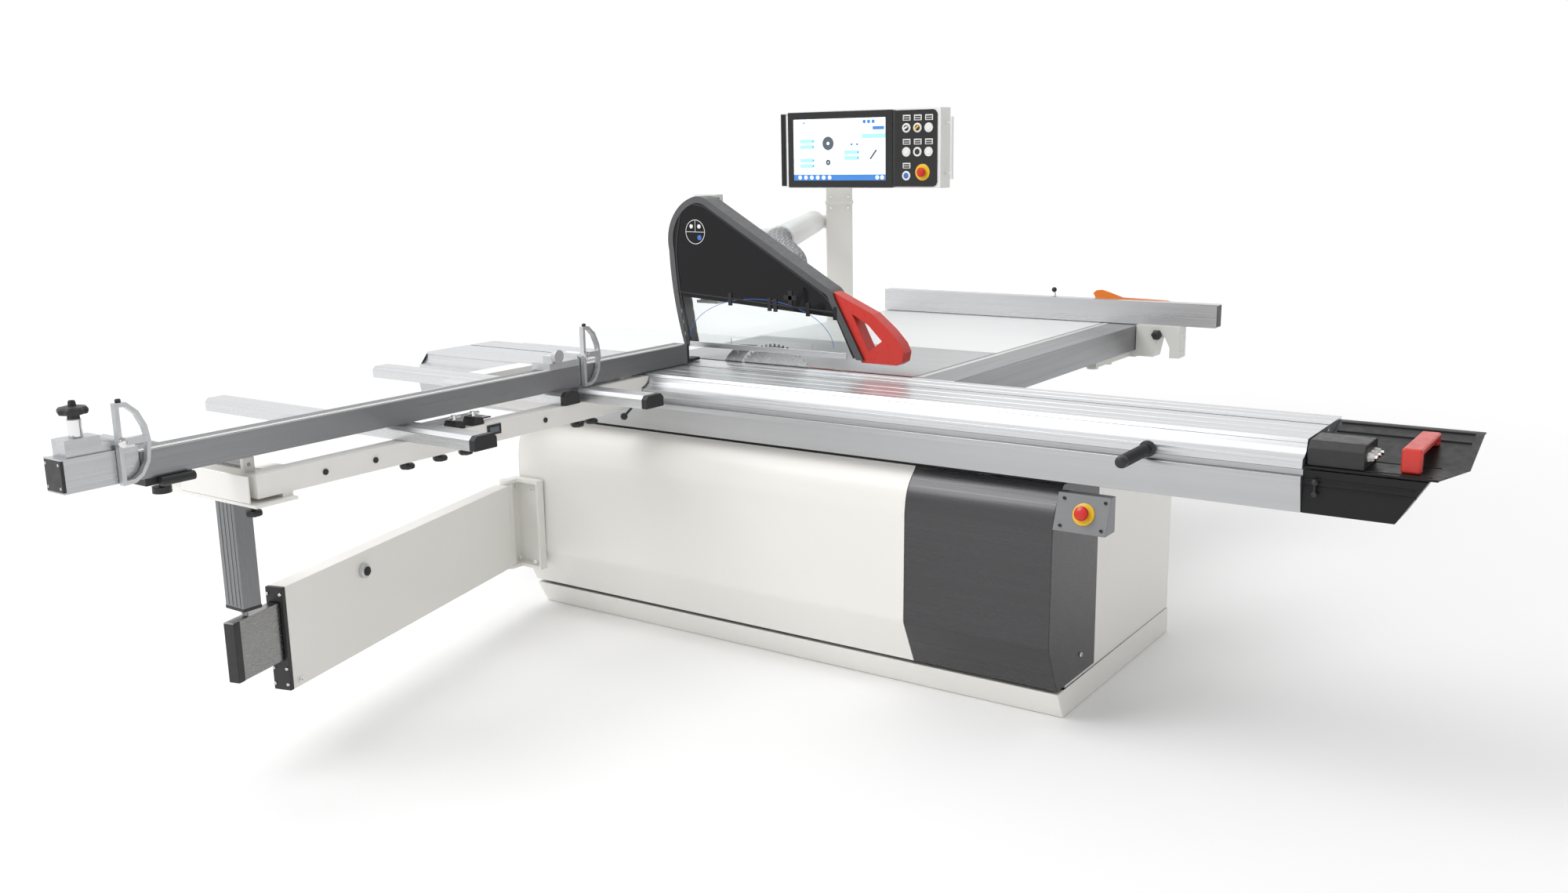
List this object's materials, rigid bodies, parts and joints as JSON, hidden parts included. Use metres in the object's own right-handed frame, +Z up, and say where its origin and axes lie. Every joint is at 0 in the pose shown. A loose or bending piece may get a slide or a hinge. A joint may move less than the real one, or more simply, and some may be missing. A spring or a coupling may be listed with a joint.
{
  "type": "sliding table panel saw",
  "caption": "Sliding table panel saw with crosscut frame and fence, swing arm, rip fence, overhead blade guard with extraction arm, tilting saw unit and swivelling console.",
  "frame": {"origin": "on the floor, below the axis of the saw arbor", "axes": "+X along the sliding table towards the infeed end, +Y across the machine from the crosscut fence side to the rip fence side, +Z up"},
  "size_m": [3.55, 4.1481, 1.78],
  "materials": {
    "frame_white": "satin warm white powder coat",
    "cover_white": "satin warm white powder coat",
    "panel_grey": "metallic mid grey",
    "pipe_white": "satin white powder coat",
    "cover_dark": "metallic dark grey",
    "aluminium": "satin anodised extrusion",
    "black_plastic": "matt black",
    "black_tray": "matt black moulding",
    "table_cast": "ground, with long grooves",
    "table_board": "white laminate",
    "red_button": "gloss red",
    "red_plastic": "satin red",
    "grey_hose": "braided grey",
    "bright_steel": "machined",
    "box_black": "matt black box",
    "chrome": "polished",
    "rip_grey": "light grey casting",
    "orange_plastic": "orange",
    "guard_silver": "satin silver casting",
    "smoked_panel": "smoked polycarbonate",
    "clear_panel": "clear polycarbonate",
    "saw_steel": "ground",
    "dark_iron": "painted casting",
    "motor_grey": "grey",
    "belt_rubber": "ribbed",
    "console_grey": "light grey housing",
    "key_white": "illuminated keys"
  },
  "bodies": {
    "machine": {"plinth": "frame_white", "base_frame": "frame_white", "front_cover": "cover_white", "motor_cover": "cover_dark", "guide_beam": "aluminium", "beam_end_cover": "black_plastic", "main_table": "table_cast", "extension_table": "table_board", "outfeed_table": "table_board", "table_supports": "frame_white", "rail_bar": "aluminium", "estop_panel": "panel_grey", "column": "frame_white", "duct_arm": "pipe_white", "swing_bracket": "frame_white", "extraction_hose": "grey_hose"},
    "base_stop_button": {"base_estop": "red_button"},
    "carriage_lock": {"stop_lever": "black_plastic"},
    "swing_arm": {"swing_arm": "frame_white", "arm_end_plate": "black_plastic"},
    "swing_extension": {"inner_arm": "bright_steel"},
    "carriage": {"carriage_table": "aluminium", "tail_tray": "black_tray", "tail_handle": "red_plastic", "control_box": "box_black", "tail_switches": "chrome", "side_handle": "black_plastic"},
    "roller_cage": {"roller_cage": "bright_steel"},
    "crosscut_frame": {"crosscut_frame": "frame_white", "cross_bars": "aluminium", "frame_knobs": "black_plastic", "support_leg": "aluminium"},
    "frame_clamp": {"frame_clamp_lever": "black_plastic"},
    "loading_roller": {"loading_roller": "bright_steel"},
    "crosscut_fence": {"fence_profile": "aluminium", "fence_fittings": "black_plastic"},
    "fence_extension": {"fence_extension": "aluminium"},
    "extension_knob": {"extension_knob": "black_plastic"},
    "outer_stop": {"stop_flip_1": "bright_steel"},
    "stop_slide": {"stop_slide": "aluminium"},
    "inner_stop": {"stop_flip_2": "bright_steel"},
    "rip_body": {"rip_fence_body": "rip_grey"},
    "rip_profile": {"rip_fence_profile": "aluminium", "push_stick": "orange_plastic"},
    "rip_clamp": {"rip_clamp_lever": "black_plastic"},
    "guard": {"guard_frame": "guard_silver", "guard_smoked_panel": "smoked_panel", "guard_clear_panel": "clear_panel", "guard_handle": "red_plastic"},
    "tilt_unit": {"tilt_frame": "dark_iron"},
    "lift_unit": {"lift_carriage": "dark_iron", "saw_motor": "motor_grey", "drive_belt": "belt_rubber", "riving_knife": "saw_steel"},
    "saw_spindle": {"saw_arbor": "bright_steel", "saw_blade": "saw_steel"},
    "scoring_spindle": {"scoring_blade": "saw_steel"},
    "console": {"console_shell": "console_grey", "console_keys": "key_white"},
    "console_button": {"console_estop": "red_button"}
  },
  "joints": [
    {"name": "carriage_slide", "type": "slide", "parent": "machine", "child": "carriage", "axis": [1, 0, 0], "range_m": [-1.55, 1.55]},
    {"name": "cage_roll", "type": "slide", "parent": "machine", "child": "roller_cage", "axis": [1, 0, 0], "range_m": [-0.775, 0.775]},
    {"name": "frame_slide", "type": "slide", "parent": "carriage", "child": "crosscut_frame", "axis": [1, 0, 0], "range_m": [-0.4, 0.6]},
    {"name": "frame_clamp_turn", "type": "hinge", "parent": "crosscut_frame", "child": "frame_clamp", "pos_m": [-0.2617, -0.44, 0.82], "axis": [1, 0, 0], "range_deg": [-45, 30]},
    {"name": "loading_roller_spin", "type": "hinge", "parent": "crosscut_frame", "child": "loading_roller", "pos_m": [0, -1.835, 0.876], "axis": [1, 0, 0], "continuous": true},
    {"name": "fence_swing", "type": "hinge", "parent": "crosscut_frame", "child": "crosscut_fence", "pos_m": [-0.316, -0.45, 0.9], "axis": [0, 0, -1], "range_deg": [0, 46]},
    {"name": "fence_extend", "type": "slide", "parent": "crosscut_fence", "child": "fence_extension", "axis": [0, -1, 0], "range_m": [0, 0.6]},
    {"name": "extension_knob_turn", "type": "hinge", "parent": "fence_extension", "child": "extension_knob", "pos_m": [-0.316, -2.257, 1.08], "axis": [0, 0, 1], "continuous": true},
    {"name": "outer_stop_flip", "type": "hinge", "parent": "fence_extension", "child": "outer_stop", "pos_m": [-0.27, -2.18, 1], "axis": [1, 0, 0], "range_deg": [0, 80]},
    {"name": "stop_slide_move", "type": "slide", "parent": "crosscut_fence", "child": "stop_slide", "axis": [0, 1, 0], "range_m": [-0.6, 0.4]},
    {"name": "inner_stop_flip", "type": "hinge", "parent": "stop_slide", "child": "inner_stop", "pos_m": [-0.27, -0.655, 1], "axis": [1, 0, 0], "range_deg": [0, 80]},
    {"name": "rip_fence_travel", "type": "slide", "parent": "machine", "child": "rip_body", "axis": [0, 1, 0], "range_m": [-1.42, 0]},
    {"name": "rip_profile_slide", "type": "slide", "parent": "rip_body", "child": "rip_profile", "axis": [1, 0, 0], "range_m": [-0.15, 0.4]},
    {"name": "rip_clamp_turn", "type": "hinge", "parent": "rip_profile", "child": "rip_clamp", "pos_m": [0.3, 1.65, 0.975], "axis": [0, 1, 0], "range_deg": [-60, 60]},
    {"name": "guard_lift", "type": "slide", "parent": "machine", "child": "guard", "axis": [0, 0, 1], "range_m": [-0.025, 0.15], "deforming": ["extraction_hose"]},
    {"name": "saw_tilt", "type": "hinge", "parent": "machine", "child": "tilt_unit", "pos_m": [0, 0, 0.9], "axis": [-1, 0, 0], "range_deg": [0, 45]},
    {"name": "blade_lower", "type": "slide", "parent": "tilt_unit", "child": "lift_unit", "axis": [0, 0, -1], "range_m": [-0.02, 0.06]},
    {"name": "saw_spin", "type": "hinge", "parent": "lift_unit", "child": "saw_spindle", "pos_m": [0, 0, 0.798], "axis": [0, 1, 0], "continuous": true},
    {"name": "scoring_spin", "type": "hinge", "parent": "tilt_unit", "child": "scoring_spindle", "pos_m": [0.25, 0, 0.843], "axis": [0, 1, 0], "continuous": true},
    {"name": "swing_arm_turn", "type": "hinge", "parent": "machine", "child": "swing_arm", "pos_m": [-0.833, -0.487, 0.33], "axis": [0, 0, 1], "range_deg": [-56, 40]},
    {"name": "swing_arm_extend", "type": "slide", "parent": "swing_arm", "child": "swing_extension", "axis": [0.2684, -0.9633, 0], "range_m": [-0.045, 0.85]},
    {"name": "console_swivel", "type": "hinge", "parent": "machine", "child": "console", "pos_m": [-0.56, 1.468, 1.6], "axis": [0, 0, 1], "range_deg": [-25, 60]},
    {"name": "console_stop_press", "type": "slide", "parent": "console", "child": "console_button", "axis": [0, 1, 0], "range_m": [0, 0.005], "stiffness_N_per_m": 600},
    {"name": "base_stop_press", "type": "slide", "parent": "machine", "child": "base_stop_button", "axis": [0, 0.9348, -0.3552], "range_m": [0, 0.006], "stiffness_N_per_m": 600},
    {"name": "carriage_lock_turn", "type": "hinge", "parent": "machine", "child": "carriage_lock", "pos_m": [1.882, -0.39, 0.772], "axis": [0, 1, 0], "range_deg": [-45, 45]}
  ],
  "couplings": [
    {"joint": "cage_roll", "follows": "carriage_slide", "ratio": 0.5}
  ]
}
